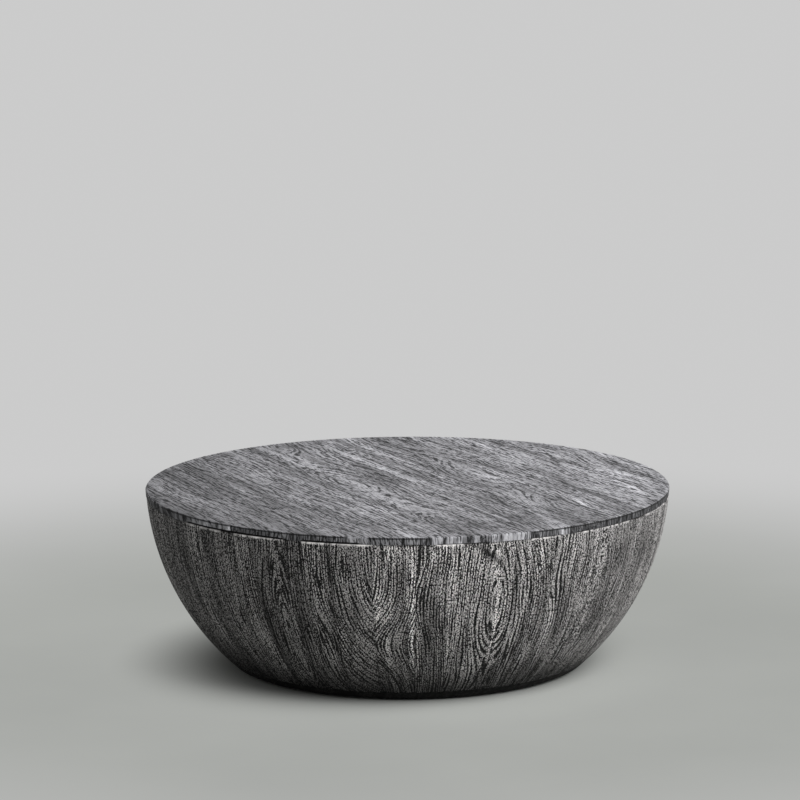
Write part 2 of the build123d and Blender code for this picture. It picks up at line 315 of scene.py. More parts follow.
def carved_block(name, face, rings, looks):
    """A closed solid. Its carved face is a grid of points, and rings carry the grid's border on
    round its sides to the back, which is flat across. looks maps the name of each number that
    the material reads to its values on the face and on the rings."""
    columns, rows = face.shape[0] - 1, face.shape[1] - 1
    grid = np.arange((columns + 1) * (rows + 1)).reshape(columns + 1, rows + 1)
    border = around(grid)
    laps = grid.size + np.arange(len(rings) * len(border)).reshape(len(rings), -1)
    walls = np.concatenate([border[None], laps])
    walls = np.concatenate([walls, walls[:, :1]], 1)
    # The back: quads from one long side to the other, and a many-sided face at each end
    last = laps[-1]
    level = np.arange(1, rows)
    back = weave(last[np.stack([-level, columns + level])])
    starts = np.concatenate([last[-1:], last[: columns + 2]])[None]
    ends = last[columns + rows - 1 : 2 * columns + rows + 2][None]

    on_face = map_grid(face.shape, *FACE_STRIP).reshape(-1, 2)
    on_walls = map_grid(walls.shape, *SIDE_STRIP).reshape(-1, 2)
    on_back = map_grid(face.shape, *BACK_STRIP)
    on_back = np.concatenate([on_back.reshape(-1, 2), *[around(on_back)] * len(laps)])
    order = np.arange(walls.size).reshape(walls.shape)
    patches = [(weave(grid), on_face[weave(grid)]), (weave(walls), on_walls[weave(order)])]
    patches += [(faces, on_back[faces]) for faces in (back, starts, ends)]

    mesh = bpy.data.meshes.new(name)
    points = np.concatenate([face.reshape(-1, 3), rings.reshape(-1, 3)])
    mesh.vertices.add(len(points))
    mesh.vertices.foreach_set("co", points.astype(np.float32).ravel())
    corners = np.concatenate([faces.ravel() for faces, _ in patches])
    counts = np.concatenate([np.full(len(faces), faces.shape[1]) for faces, _ in patches])
    mesh.loops.add(len(corners))
    mesh.loops.foreach_set("vertex_index", corners.astype(np.int32))
    mesh.polygons.add(len(counts))
    mesh.polygons.foreach_set("loop_start", (np.cumsum(counts) - counts).astype(np.int32))
    mesh.update(calc_edges=True)
    spots = np.concatenate([places.ravel() for _, places in patches])
    mesh.uv_layers.new(name="OFBake").uv.foreach_set("vector", spots.astype(np.float32))
    for look, (face_values, ring_values) in looks.items():
        on_grid = face_values.reshape(grid.size, -1)
        values = np.concatenate([on_grid, ring_values.reshape(laps.size, -1)])
        kind, field = ("FLOAT", "value") if values.shape[1] == 1 else ("FLOAT_VECTOR", "vector")
        layer = mesh.attributes.new(look, kind, "POINT")
        layer.data.foreach_set(field, values.astype(np.float32).ravel())
    turned = bmesh.new()
    turned.from_mesh(mesh)
    bmesh.ops.recalc_face_normals(turned, faces=turned.faces)
    turned.to_mesh(mesh)
    turned.free()
    mesh.polygons.foreach_set("use_smooth", np.ones(len(mesh.polygons), bool))
    mesh.set_sharp_from_angle(angle=EDGE_TURN)
    piece = bpy.data.objects.new(name, mesh)
    bpy.context.scene.collection.objects.link(piece)
    return piece


def fit(piece, node, material):
    """The finished piece takes its node's place on the table."""
    piece.data.materials.append(material)
    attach(piece, "root")
    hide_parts(node)


# The grain of both boards runs at this angle from front to back, turned towards -X
GRAIN_TURN = math.radians(25)
# The bowl curve is one arc from the foot to the rim, through two corners of the wall
BOWL_RADIUS = 431 * MM
# Corners this near in height lie on one level
NEAR = 0.01 * MM
wall_points = cad_points("stave_05")
wall_reach = np.hypot(wall_points[:, 0], wall_points[:, 1])
wall_levels = np.unique(wall_points[:, 2].round(6))
wall_foot, shoulder, wall_top = wall_levels[[0, -2, -1]]
foot_reach = wall_reach[abs(wall_points[:, 2] - wall_foot) < NEAR].max()
shoulder_reach = wall_reach[abs(wall_points[:, 2] - shoulder) < NEAR].max()
rise, run = shoulder - wall_foot, shoulder_reach - foot_reach
setback = math.sqrt((BOWL_RADIUS / math.hypot(rise, run)) ** 2 - 0.25)
bowl_r = (shoulder_reach + foot_reach) / 2 - setback * rise
bowl_z = (shoulder + wall_foot) / 2 + setback * run


def wall_radius(height, depth=0):
    """Radius of the bowl curve at a height, at a depth in from its outer face."""
    return bowl_r + np.sqrt((BOWL_RADIUS - depth) ** 2 - (bowl_z - height) ** 2)


def plan(across, along, height):
    """Points from their places across and along the planks and their height."""
    x = across * math.cos(GRAIN_TURN) - along * math.sin(GRAIN_TURN)
    y = across * math.sin(GRAIN_TURN) + along * math.cos(GRAIN_TURN)
    return np.stack(np.broadcast_arrays(x, y, height), -1)


def plank_edges(node):
    """A plank's two long edges, across the grain."""
    points = cad_points(node)
    across = points[:, 0] * math.cos(GRAIN_TURN) + points[:, 1] * math.sin(GRAIN_TURN)
    return across.min(), across.max()


def plank_grid(low, high, radius, column, row):
    """Places across and along a plank of a round board, as a grid over its face. A plank at
    the board's side has rows out to the rim, any other has columns from rim to rim. A side
    plank's corners are cut off where it gets too narrow for a row."""
    if low > -radius and high < radius:
        across = np.linspace(low, high, math.ceil((high - low) / column) + 1)[:, None]
        reach = np.sqrt(radius**2 - across**2)
        along = reach * np.linspace(-1, 1, math.ceil(2 * reach.max() / row) + 1)
        return across + 0 * along, along
    seam = high if low <= -radius else low
    shortest_row = column / 8
    end = math.sqrt(radius**2 - (abs(seam) + shortest_row) ** 2)
    along = np.linspace(-end, end, math.ceil(2 * end / row) + 1)
    out = math.copysign(1, seam) * np.sqrt(radius**2 - along**2)
    share = np.linspace(0, 1, math.ceil((radius - abs(seam)) / column) + 1)[:, None]
    share = share if seam > 0 else share[::-1]
    return seam + (out - seam) * share, along + 0 * share


def rim_lap(across, along, inner, on_rim, radius, height):
    """A lap of a plank's border at a height, with its stretches on the rim at a radius. They
    move along the grain on an inner plank, and away from the rim's middle on another."""
    if inner:
        moved = across
        lengthwise = np.sqrt(radius**2 - across**2) * np.sign(along)
    else:
        seam = abs(across).min()
        end = abs(along).max()
        lengthwise = along * np.sqrt(radius**2 - seam**2) / end
        moved = np.sqrt(np.maximum(radius**2 - lengthwise**2, seam**2)) * np.sign(across)
    return plan(np.where(on_rim, moved, across), np.where(on_rim, lengthwise, along), height)


def drawn_pith(draw):
    """The pith of a board's tree as it lies in the board, drawn at random. A third of the
    boards are figured: they were sawn near the pith, which leaves ovals and arches."""
    figured = draw.uniform() < 0.35
    side = draw.choice([-1, 1])
    offset = side * (draw.uniform(0, 30) if figured else draw.uniform(55, 150)) * MM
    depth = draw.uniform(15, 35) * MM
    swing = (-draw.uniform(6, 24) if figured else draw.uniform(0, 8)) * MM
    slope = draw.uniform(-0.06, 0.06) if figured else draw.uniform(-0.15, 0.15)
    return offset, depth, slope, swing, draw.uniform(50, 260) * MM, draw.uniform(190, 420) * MM


# The wall's grain, which the base board shares: the pitch of its lines, how full it is, the
# width and length of its beads of lime, and the width of its growth bands
WALL_PITCH = 4 * MM
WALL_FULL = 0.06
WALL_BEAD = (1.7 * MM, 3.2 * MM)
WALL_BAND = 5 * MM
# The grid over each plank of the base board, and the laps up its edge
BASE_COLUMN = 3 * MM
BASE_ROW = 8 * MM
BASE_LAPS = 9
BASE_RELIEF = 0.4 * MM
# The edge's tone is low partly for the black stain, partly as painted shade under the bowl
BASE_EDGE_TONE = 0.45
FOOT_BEVEL = 4 * MM
# The seed of the board's random grain, and the step from each plank to the next
BASE_SEED = 900
PLANK_SEEDS = 20


def plank_border(across, along, radius, column):
    """A plank's border: its places across and along, and which of them lie on the rim."""
    rim_across, rim_along = around(across), around(along)
    return rim_across, rim_along, np.hypot(rim_across, rim_along) > radius - column / 4


def edge_grain(across, along, below, pith, seed):
    """Growth rings and relief of the grain on a board's edge, this far under its face."""
    ring, steep = ring_radius(across, along, below, pith, seed)
    return ring, brushed(ring, steep, across, along + below, WALL_PITCH, WALL_FULL, seed)


# Its lime is nearly black: the black stain, and painted shade under the bowl by the floor
base_finish = brushed_wood(
    "black_limed_base_and_painted_shade",
    stain=(0.004, 0.004, 0.004),
    lime=(0.045, 0.044, 0.042),
    share=(0.4, 1.1),
    bead=WALL_BEAD,
    wax=0.66,
    gloss=0.14,
)
for number, node in enumerate(numbered("base_plank_"), 1):
    seed = BASE_SEED + PLANK_SEEDS * number
    low, high = plank_edges(node)
    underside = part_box(node)[0].z
    face_radius = float(wall_radius(underside)) - FOOT_BEVEL
    inner = low > -face_radius and high < face_radius
    across, along = plank_grid(low, high, face_radius, BASE_COLUMN, BASE_ROW)
    pith = drawn_pith(np.random.default_rng(seed))
    ring, steep = ring_radius(across, along, 0, pith, seed)
    carve = brushed(ring, steep, across, along, WALL_PITCH, WALL_FULL, seed)
    tone = growth_tone(ring, across, along, WALL_BAND, seed)
    face = plan(across, along, underside + BASE_RELIEF * (1 - carve))
    grain = fleck_places(number, across, along, ring)
    rim_across, rim_along, on_rim = plank_border(across, along, face_radius, BASE_COLUMN)
    laps, carves, grains = [], [], []
    for height in np.linspace(underside + FOOT_BEVEL, wall_foot, BASE_LAPS):
        up = height - underside
        lap_ring, lap_carve = edge_grain(rim_across, rim_along, up, pith, seed)
        sunk = BASE_RELIEF * (1 - lap_carve * (height < wall_foot))
        radius = wall_radius(height) - sunk
        laps.append(rim_lap(rim_across, rim_along, inner, on_rim, radius, height))
        carves.append(lap_carve)
        grains.append(fleck_places(number, rim_across, rim_along + height, lap_ring))
    shape = (BASE_LAPS, len(rim_across))
    looks = {
        "grain": (grain, np.array(grains)),
        "carve": (carve, np.array(carves)),
        "tone": (tone, np.full(shape, BASE_EDGE_TONE)),
        "bare_and_sheen": (0 * tone, np.zeros(shape)),
    }
    piece = carved_block(f"base_board_plank_{number}", face, np.array(laps), looks)
    fit(piece, node, base_finish)


# --- Cleats ---------------------------------------------------------------------------------
# Two boards across the planks under the top and two on the base board, sawn from pale
# hardwood and left bare. They keep both boards flat, and are hidden inside the bowl.
def bare_wood(name, pale, dark, along, fibre):
    """Unfinished wood, its grain this long along it and its fibres this fine."""
    finish = Finish(name)
    place = finish.node("TexCoord", output="Object")
    turned = {"Vector": place, "Angle": -GRAIN_TURN}
    place = finish.node("VectorRotate", {"rotation_type": "Z_AXIS"}, turned)
    bands = finish.flecks(place, (along, 6 * fibre, 6 * fibre), 3)
    fibres = finish.flecks(place, (along / 8, fibre, fibre))
    pores = finish.flecks(place, (along / 12, fibre, fibre), 1).above(0.6, 0.66)
    shade = bands.above(0.3, 0.7) * 0.6 + fibres.above(0.3, 0.7) * 0.4
    colour = finish.shaded(finish.blend(shade, (*pale, 1), (*dark, 1)), 1 - 0.35 * pores)
    height = fibres * 0.5 - pores
    bump = finish.node("Bump", {}, {"Height": height, "Distance": 0.2 * MM, "Strength": 0.6})
    rough = fibres * 0.15 + 0.6
    return finish.surface({"Base Color": colour, "Roughness": rough, "Normal": bump})


def dress(node, material):
    """A piece whose shape is right already takes a finish."""
    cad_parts[node].material_slots[0].material = material


cleat_finish = bare_wood("sawn_cleat", (0.58, 0.43, 0.27), (0.4, 0.27, 0.15), 90 * MM, 0.8 * MM)
for board in ("top", "base"):
    dress(f"{board}_cleat_front", cleat_finish)
    dress(f"{board}_cleat_back", cleat_finish)


# --- Screws ---------------------------------------------------------------------------------
# Countersunk slotted screws, zinc plated, one through a cleat into each plank that it
# crosses. The plating is dull, and faintly blotched where the bath dried.
screw_finish = Finish("zinc_screw")
place = screw_finish.node("TexCoord", output="Object")
blotches = screw_finish.flecks(place, (1.2 * MM,) * 3, 3).above(0.35, 0.65)
plating = screw_finish.blend(blotches, (0.5, 0.5, 0.49, 1), (0.64, 0.64, 0.62, 1))
dents = screw_finish.flecks(place, (0.5 * MM,) * 3)
bump = screw_finish.node("Bump", {}, {"Height": dents, "Distance": 0.05 * MM, "Strength": 0.5})
screw_finish.surface(
    {"Base Color": plating, "Metallic": 1, "Roughness": 0.45 - 0.15 * blotches, "Normal": bump}
)
dress("cleat_screws", screw_finish.material)


# --- Floor glides ---------------------------------------------------------------------------
# Six round feet of black plastic, moulded over a pin and nailed up into the base board. The
# mould left them finely grained, and the floor has scuffed them.
glide_finish = Finish("black_glide")
place = glide_finish.node("TexCoord", output="Object")
grained = glide_finish.flecks(place, (0.4 * MM,) * 3)
scuffs = glide_finish.flecks(place, (6 * MM, 0.7 * MM, 6 * MM), 3).above(0.58, 0.7)
plastic = glide_finish.blend(scuffs, (0.025, 0.025, 0.026, 1), (0.07, 0.07, 0.068, 1))
bump = glide_finish.node("Bump", {}, {"Height": grained, "Distance": 0.06 * MM, "Strength": 0.6})
glide_finish.surface(
    {"Base Color": plastic, "Roughness": 0.45 + 0.2 * scuffs + 0.1 * grained, "Normal": bump}
)
dress("floor_glides", glide_finish.material)


# --- Staves ---------------------------------------------------------------------------------
# Thirty-five upright boards of black-stained wood, mitred and glued edge to edge, then turned
# outside to the bowl curve. The wire brush left the hard grain standing, and lime lies on it.
STAVE_THICKNESS = 28 * MM
# The grid over each stave: how wide a column is, and how many rows it has
COLUMN = 1.05 * MM
STAVE_ROWS = 104
RELIEF = 0.55 * MM
SEAM_DEPTH = 0.5 * MM
SEAM_WIDTH = 0.9 * MM
# The most by which the lathe left one stave lower than another
STAVE_STEP = 0.35 * MM
# The seed of the wall's random grain, and the step from each stave to the next
WALL_SEED = 100
STAVE_SEEDS = 10
# Stretches of azimuth over the front, out to its half on each side: where the joint under the
# top is filled flush, and where its lower arris is worn pale. Behind, both are random.
FRONT_HALF = 78
FILLED_JOINT = ((-80, -55), (-26, -23), (-10, -1.5), (3, 6), (17, 26.5), (34.5, 38))
WORN_ARRIS = (
    (-55.7, -43.4),
    (-39.9, -27.0),
    (-22.9, -7.0),
    (5.9, 11.7),
    (27.0, 35.2),
    (38.1, 57.5),
    (62.2, 76.8),
)
OPEN_SEED = 71
WORN_SEED = 72
BROKEN_SEED = 73
# Painted shade on the wall's side away from the lamp, and painted sheen and a darker tone on its
# side towards the lamp, each with the degrees over which it fades
SHADED_SIDE = ((-150, -40),)
SHADED_FADE = 10
LIT_SIDE = ((45, 150),)
LIT_FADE = 14
# How high painted shade darkens the foot, less on the lamp's side and more away from it
FOOT_SHADE_HEIGHT = 112 * MM
LESS_WHERE_LIT = 62 * MM
MORE_WHERE_SHADED = 20 * MM
# Where the pale arris is drawn dimmer on the lamp's side, a painted shade that holds down its
# light
LIT_ARRIS = ((30, 80),)
# The front staves' piths: offset, depth, slope, swing, level and wave
FRONT_PITHS = (
    (15, 12, 0, -12, 120, 400),
    (70, 30, -0.25, 8, 150, 200),
    (59, 72, -0.4, 0, 122, 200),
    (-75, 40, 0, 34, 122, 300),
    (-50, 20, 0.12, 6, 200, 220),
    (26, 25, 0, -11, 212, 330),
    (-60, 25, 0.1, 5, 100, 260),
    (-45, 20, 0.15, 6, 220, 200),
    (-16, 5, 0, 6, 231, 56),
)
# Front stave tones; the first three, on the left, hold darker stain and painted shade
FRONT_TONES = (0.68, 0.72, 0.8, 1.08, 1.08, 1.05, 0.9, 0.83, 1.05)
# Pale and dark places, from left to right: azimuth, height up the curve, half width, half
# length, lean and strength
WALL_SPOTS = (
    # Broad shades
    (-49, 180, 4, 60, 0, -0.2),
    (-40, 150, 6, 60, 0, -0.2),
    (-35, 38, 7, 20, 0, 0.6),
    (-31, 145, 4, 55, 0, -0.18),
    (-29, 38, 5, 18, 0, 0.25),
    (-3, 262, 3, 30, 0, -0.28),
    (-1, 95, 5, 50, 0, -0.2),
    (14, 215, 4, 38, 0, -0.18),
    (16, 45, 5, 30, 0, 0.3),
    (28, 110, 4.5, 50, 0, -0.2),
    (49, 85, 4, 35, 0, 0.4),
    (54, 245, 9, 55, 0, -0.24),
    (58, 85, 4, 35, 0, 0.4),
    (58, 175, 4, 50, 0, 0.35),
    (66, 250, 5, 40, 0, -0.42),
    # Streaks, and the knot's dark ray
    (-54, 125, 1.2, 45, 0, 0.4),
    (-52.8, 270, 0.9, 32, 0, 0.6),
    (-38.7, 155, 1.1, 95, 0, 0.7),
    (-34.2, 150, 0.8, 70, 0, -0.55),
    (-31.2, 265, 0.9, 28, 0, -0.65),
    (-28, 145, 1.0, 40, 0, -0.35),
    (-26.1, 299, 0.8, 9, 0, -0.7),
    (-15.8, 120, 0.9, 60, 0.02, 0.35),
    (-13.5, 250, 0.9, 50, 0, 0.6),
    (-11.5, 190, 1.2, 25, 0, -0.4),
    (-6.8, 190, 0.9, 75, 0, 0.5),
    (0.9, 150, 0.6, 105, 0, 0.8),
    (2.8, 250, 1.5, 30, 0, 0.35),
    (5.6, 135, 1.7, 68, 0, -0.6),
    (5.6, 290, 0.7, 10, 0, 0.6),
    (7.7, 255, 0.6, 40, 0, -0.5),
    (8.7, 120, 0.6, 75, 0, -0.4),
    (9.8, 250, 0.4, 36, 0, 1.1),
    (17.6, 290, 1.1, 19, -0.16, -0.99),
    (20.8, 150, 1.1, 85, 0, 0.5),
    (24.3, 230, 0.7, 45, 0, -0.55),
    (28.4, 260, 1.0, 22, 0, 0.4),
    (30.4, 160, 1.0, 60, 0, -0.4),
    (33.2, 285, 0.6, 28, 0, -0.55),
    (35.1, 165, 1.0, 70, 0, 0.4),
    (37.4, 64, 0.4, 6, 0, -0.8),
    (38.4, 160, 0.7, 62, 0, -0.45),
    (54, 215, 1.5, 26, 0, 0.4),
    (59.3, 250, 0.7, 52, 0, 0.6),
)


def chosen_pith(pith, middle=0):
    """A pith chosen in millimetres, with its offset from the board's middle, in metres."""
    offset, depth, slope, swing, level, wave = pith
    return offset * MM + middle, depth * MM, slope, swing * MM, level * MM, wave * MM


def smudges(across, along, spots):
    """How much pale and dark places change the tone. Each lies at a place across and along
    the wood, with a half width, a half length, a lean and a strength, below 0 for dark."""
    change = np.ones(np.broadcast(across, along).shape)
    for at, up, wide, long, lean, strength in spots:
        off = across - at - lean * (along - up)
        change *= 1 + strength * np.exp(-((off / wide) ** 2) - ((along - up) / long) ** 2)
    return change


def stave_sides(node):
    """The azimuths of a stave's two seams, in radians."""
    points = cad_points(node)
    middle = math.atan2(*(points[:, :2] * (1, -1)).mean(0))
    turns = np.arctan2(points[:, 0], -points[:, 1]) - middle
    turns = (turns + math.pi) % math.tau - math.pi
    return middle + turns.min(), middle + turns.max()


def within(azimuth, stretches, blur):
    """1 within any of the stretches of azimuth and 0 outside them."""
    inside = np.zeros_like(azimuth)
    for low, high in stretches:
        rising = step(azimuth, low - blur, low + blur)
        inside = np.maximum(inside, rising * (1 - step(azimuth, high - blur, high + blur)))
    return inside


def joint_gap(azimuth):
    """How open the joint under the top is, from 0 where it is filled to 1."""
    rear = step(noise(azimuth / 6, 0, OPEN_SEED), 0.25, 0.4)
    return np.where(abs(azimuth) < FRONT_HALF, 1 - within(azimuth, FILLED_JOINT, 0.6), rear)


def arris_wear(azimuth):
    """How pale the arris under the joint is worn, from 0 to 1."""
    rear = step(noise(azimuth / 7, 0, WORN_SEED), 0.4, 0.6)
    front = within(azimuth, WORN_ARRIS, 0.3)
    lit_arris = within(azimuth, LIT_ARRIS, 5)
    # Less pale on the lamp's side: painted shade that holds down its light
    broken = 0.2 + 0.8 * noise(azimuth / 0.6, 0, BROKEN_SEED) - 0.2 * lit_arris
    return np.where(abs(azimuth) < FRONT_HALF, front, rear) * broken


def wall_tone(azimuth, along, seam):
    """Tone of the wall beside that of its boards: smudged and dark in its seams, with painted
    shade down at the foot and on the side away from the lamp."""
    dark = within(azimuth, SHADED_SIDE, SHADED_FADE)
    bare_and_sheen = within(azimuth, LIT_SIDE, LIT_FADE)
    shaded_foot = FOOT_SHADE_HEIGHT - LESS_WHERE_LIT * bare_and_sheen + MORE_WHERE_SHADED * dark
    # Painted shade: darker down at the foot
    foot = 0.2 + 0.8 * step(along, 0, shaded_foot)
    # Painted shade: the side away from the lamp is darker
    return smudges(azimuth, along / MM, WALL_SPOTS) * foot * (1 - 0.5 * seam) * (1 - 0.22 * dark)


wall_finish = brushed_wood(
    "black_limed_wall",
    stain=(0.003, 0.003, 0.003),
    lime=(0.625, 0.605, 0.6),
    share=(0.44, 0.76),
    bead=WALL_BEAD,
    wax=0.58,
    gloss=0.18,
)
foot_angle = math.asin((bowl_z - wall_foot) / BOWL_RADIUS)
for number, node in enumerate(numbered("stave_"), 1):
    seed = WALL_SEED + STAVE_SEEDS * number
    low, high = stave_sides(node)
    middle = (low + high) / 2
    draw = np.random.default_rng(seed)
    pith = drawn_pith(draw)
    board_tone = draw.uniform(0.85, 1.15)
    if number <= len(FRONT_PITHS):
        pith = chosen_pith(FRONT_PITHS[number - 1])
        board_tone = FRONT_TONES[number - 1]

    # The turned face, its grid even along the bowl curve up to the bevel at its top, which is
    # cut further back where the joint is open or the arris worn
    columns = math.ceil((high - low) * shoulder_reach / COLUMN)
    turn = np.linspace(low, high, columns + 1)[:, None]
    azimuth = (np.degrees(turn) + 180) % 360 - 180
    gap = joint_gap(azimuth)
    wear = arris_wear(azimuth)
    bevel = MM * (0.15 + 0.5 * gap + 1.2 * wear)
    top_angle = np.arcsin((bowl_z - wall_top + bevel) / BOWL_RADIUS)
    angle = foot_angle + (top_angle - foot_angle) * np.linspace(0, 1, STAVE_ROWS + 1)
    along = BOWL_RADIUS * (foot_angle - angle)
    radius = wall_radius(bowl_z - BOWL_RADIUS * np.sin(angle))
    across = (turn - middle) * radius
    ring, steep = ring_radius(across, along, 0, pith, seed)
    carve = brushed(ring, steep, across, along, WALL_PITCH, WALL_FULL, seed)
    seam = np.exp(-((np.minimum(turn - low, high - turn) * radius / SEAM_WIDTH) ** 2))
    depth = RELIEF * (1 - carve) + SEAM_DEPTH * seam + draw.uniform(0, STAVE_STEP)
    reach = bowl_r + (BOWL_RADIUS - depth) * np.cos(angle)
    height = bowl_z - (BOWL_RADIUS - depth) * np.sin(angle)

    # Two more rows over the bevel and into the joint's mouth, a hairline where it is filled
    lip = wall_radius(wall_top) - 0.85 * bevel
    mouth = MM * (0.1 + 0.5 * gap)
    reach = np.concatenate([reach, lip, lip - 1.5 * mouth], 1)
    height = np.concatenate([height, wall_top - mouth, wall_top + 0 * mouth], 1)
    face = np.stack([reach * np.sin(turn), -reach * np.cos(turn), height], -1)

    # The back, flat across and square to the stave's middle
    border_turn = around(turn + 0 * height)
    border_height = np.clip(around(height), wall_foot, wall_top)
    border_height[: columns + 1] = wall_foot
    reach = wall_radius(border_height, STAVE_THICKNESS) / np.cos(border_turn - middle)
    back = np.stack([reach * np.sin(border_turn), -reach * np.cos(border_turn), border_height], -1)

    # The looks: the board's tone, with painted shade and sheen, and lime worn pale along the lip
    lit_side = within(azimuth, LIT_SIDE, LIT_FADE)
    tone = growth_tone(ring, across, along, WALL_BAND, seed) * board_tone
    tone = tone * wall_tone(azimuth, along, seam)
    lip_tone = 0.35 + 1.1 * wear
    # The last row, in the joint's mouth, is darkened as painted shade where the joint is open
    tone = np.concatenate([tone[:, :-1], lip_tone, lip_tone, lip_tone * (1 - 0.9 * gap)], 1)
    # Painted shade: the tone is darker on the lamp's side, holding down its light
    tone = tone * (1 - 0.36 * lit_side)
    # Painted sheen: the lime share is lifted on the lamp's side; along the lip it is real wear
    bare_and_sheen = np.zeros_like(tone) + 0.1 * lit_side
    bare_and_sheen[:, -3:] = wear
    looks = {"tone": (tone, around(tone)[None]), "bare_and_sheen": (bare_and_sheen, around(bare_and_sheen)[None])}
    grain = fleck_places(number, across, along, ring)
    for look, values in (("grain", grain), ("carve", carve)):
        values = np.concatenate([values, values[:, -1:], values[:, -1:]], 1)
        looks[look] = (values, around(values)[None])
    piece = carved_block(f"wall_stave_{number:02d}", face, back[None], looks)
    fit(piece, node, wall_finish)


# --- Dowels ---------------------------------------------------------------------------------
# Turned beech dowels, two to a stave, glued into its ends and into the two boards. They are
# bare, and can't be seen once the table is together.
dowel_finish = bare_wood("beech_dowel", (0.7, 0.53, 0.35), (0.52, 0.37, 0.22), 7 * MM, 0.6 * MM)
dress("stave_dowels", dowel_finish)


# --- Top board ------------------------------------------------------------------------------
# Ten planks of the same wood glued into one round board and dowelled down on the wall. Its
# edge was turned with the wall, and its first plank has stayed a little proud.
table_top = cad_box[1].z
TOP_ARRIS = 1.6 * MM
PROUD = 0.5 * MM
# The grid over each plank of the top, and the laps down its edge
TOP_COLUMN = 1.2 * MM
TOP_ROW = 3.2 * MM
EDGE_LAPS = 10
# The top's grain, and the relief that the brush gave to its face and to its edge
TOP_PITCH = 7 * MM
TOP_FULL = 0.16
TOP_BEAD = (2.2 * MM, 20 * MM)
TOP_BAND = 8 * MM
TOP_RELIEF = 0.35 * MM
EDGE_RELIEF = 0.6 * MM
# The planks' seams on the face, which stop short of the rim, and the slits at their ends
TOP_SEAM_DEPTH = 0.3 * MM
SEAM_STOP = 2 * MM
SLIT_WIDTH = 1.6 * MM
SLIT_DEPTH = 1.8 * MM
# A plank that comes this near to the rim is a side plank
SIDE_MARGIN = 5 * MM
# How far in the edge turns at its foot, and over what height
UNDERCUT = 0.3 * MM
UNDERCUT_HEIGHT = 0.05 * MM
TOP_SEED = 500
# Where the slits between the planks have opened
OPEN_SLITS = ((-42, -38), (-2, 0.5), (25, 39))
# Where the top's arris is black, and where it is pale
BLACK_ARRIS = ((-66, -13.2), (-8.5, 4), (27, 80))
PALE_ARRIS = ((-84, -66),)
# Where the joint under the board is at its widest
WIDE_JOINT = ((-55, -27), (-23, -8))
# How many degrees a patch of lime on the board's edge takes up
EDGE_PATCH = 1.1
EDGE_PATCH_SEED = 75
# Stretches of the edge with a tone of their own. From a pale tone on, the edge is worn bare.
EDGE_TONE = 0.5
PALE_TONE = 0.75
EDGE_TONES = (
    (-90, -62, 0.6),
    (-62, -55, 0.8),
    (-55, -42, 1.2),
    (-42, -40.2, 2.4),
    (-40.2, -13, 0.5),
    (-13, -8.6, 0.85),
    (-8.6, 5, 0.45),
    (5, 27, 0.9),
    (27, 34.2, 0.5),
    (34.2, 36.8, 1.1),
    (36.8, 90, 0.34),
)
# The planks' piths: offset from the plank's middle, depth, slope, swing, level and wave
TOP_PITHS = (
    (90, 30, 0.05, 6, 0, 300),
    (-110, 25, 0.04, 8, 50, 330),
    (130, 30, -0.06, 8, -50, 300),
    (-90, 18, 0.05, 8, 60, 420),
    (-40, 34, 0.05, 14, -150, 420),
    (-100, 26, 0.1, 8, 0, 320),
    (34, 34, 0, 12, -130, 330),
    (-100, 30, 0.1, 8, 0, 300),
    (95, 25, -0.1, 8, 60, 330),
    (-70, 30, 0.1, 8, 0, 300),
)
TOP_TONES = (0.63, 0.69, 0.9, 1.1, 1.1, 1.25, 0.85, 1.2, 1.12, 1.2)
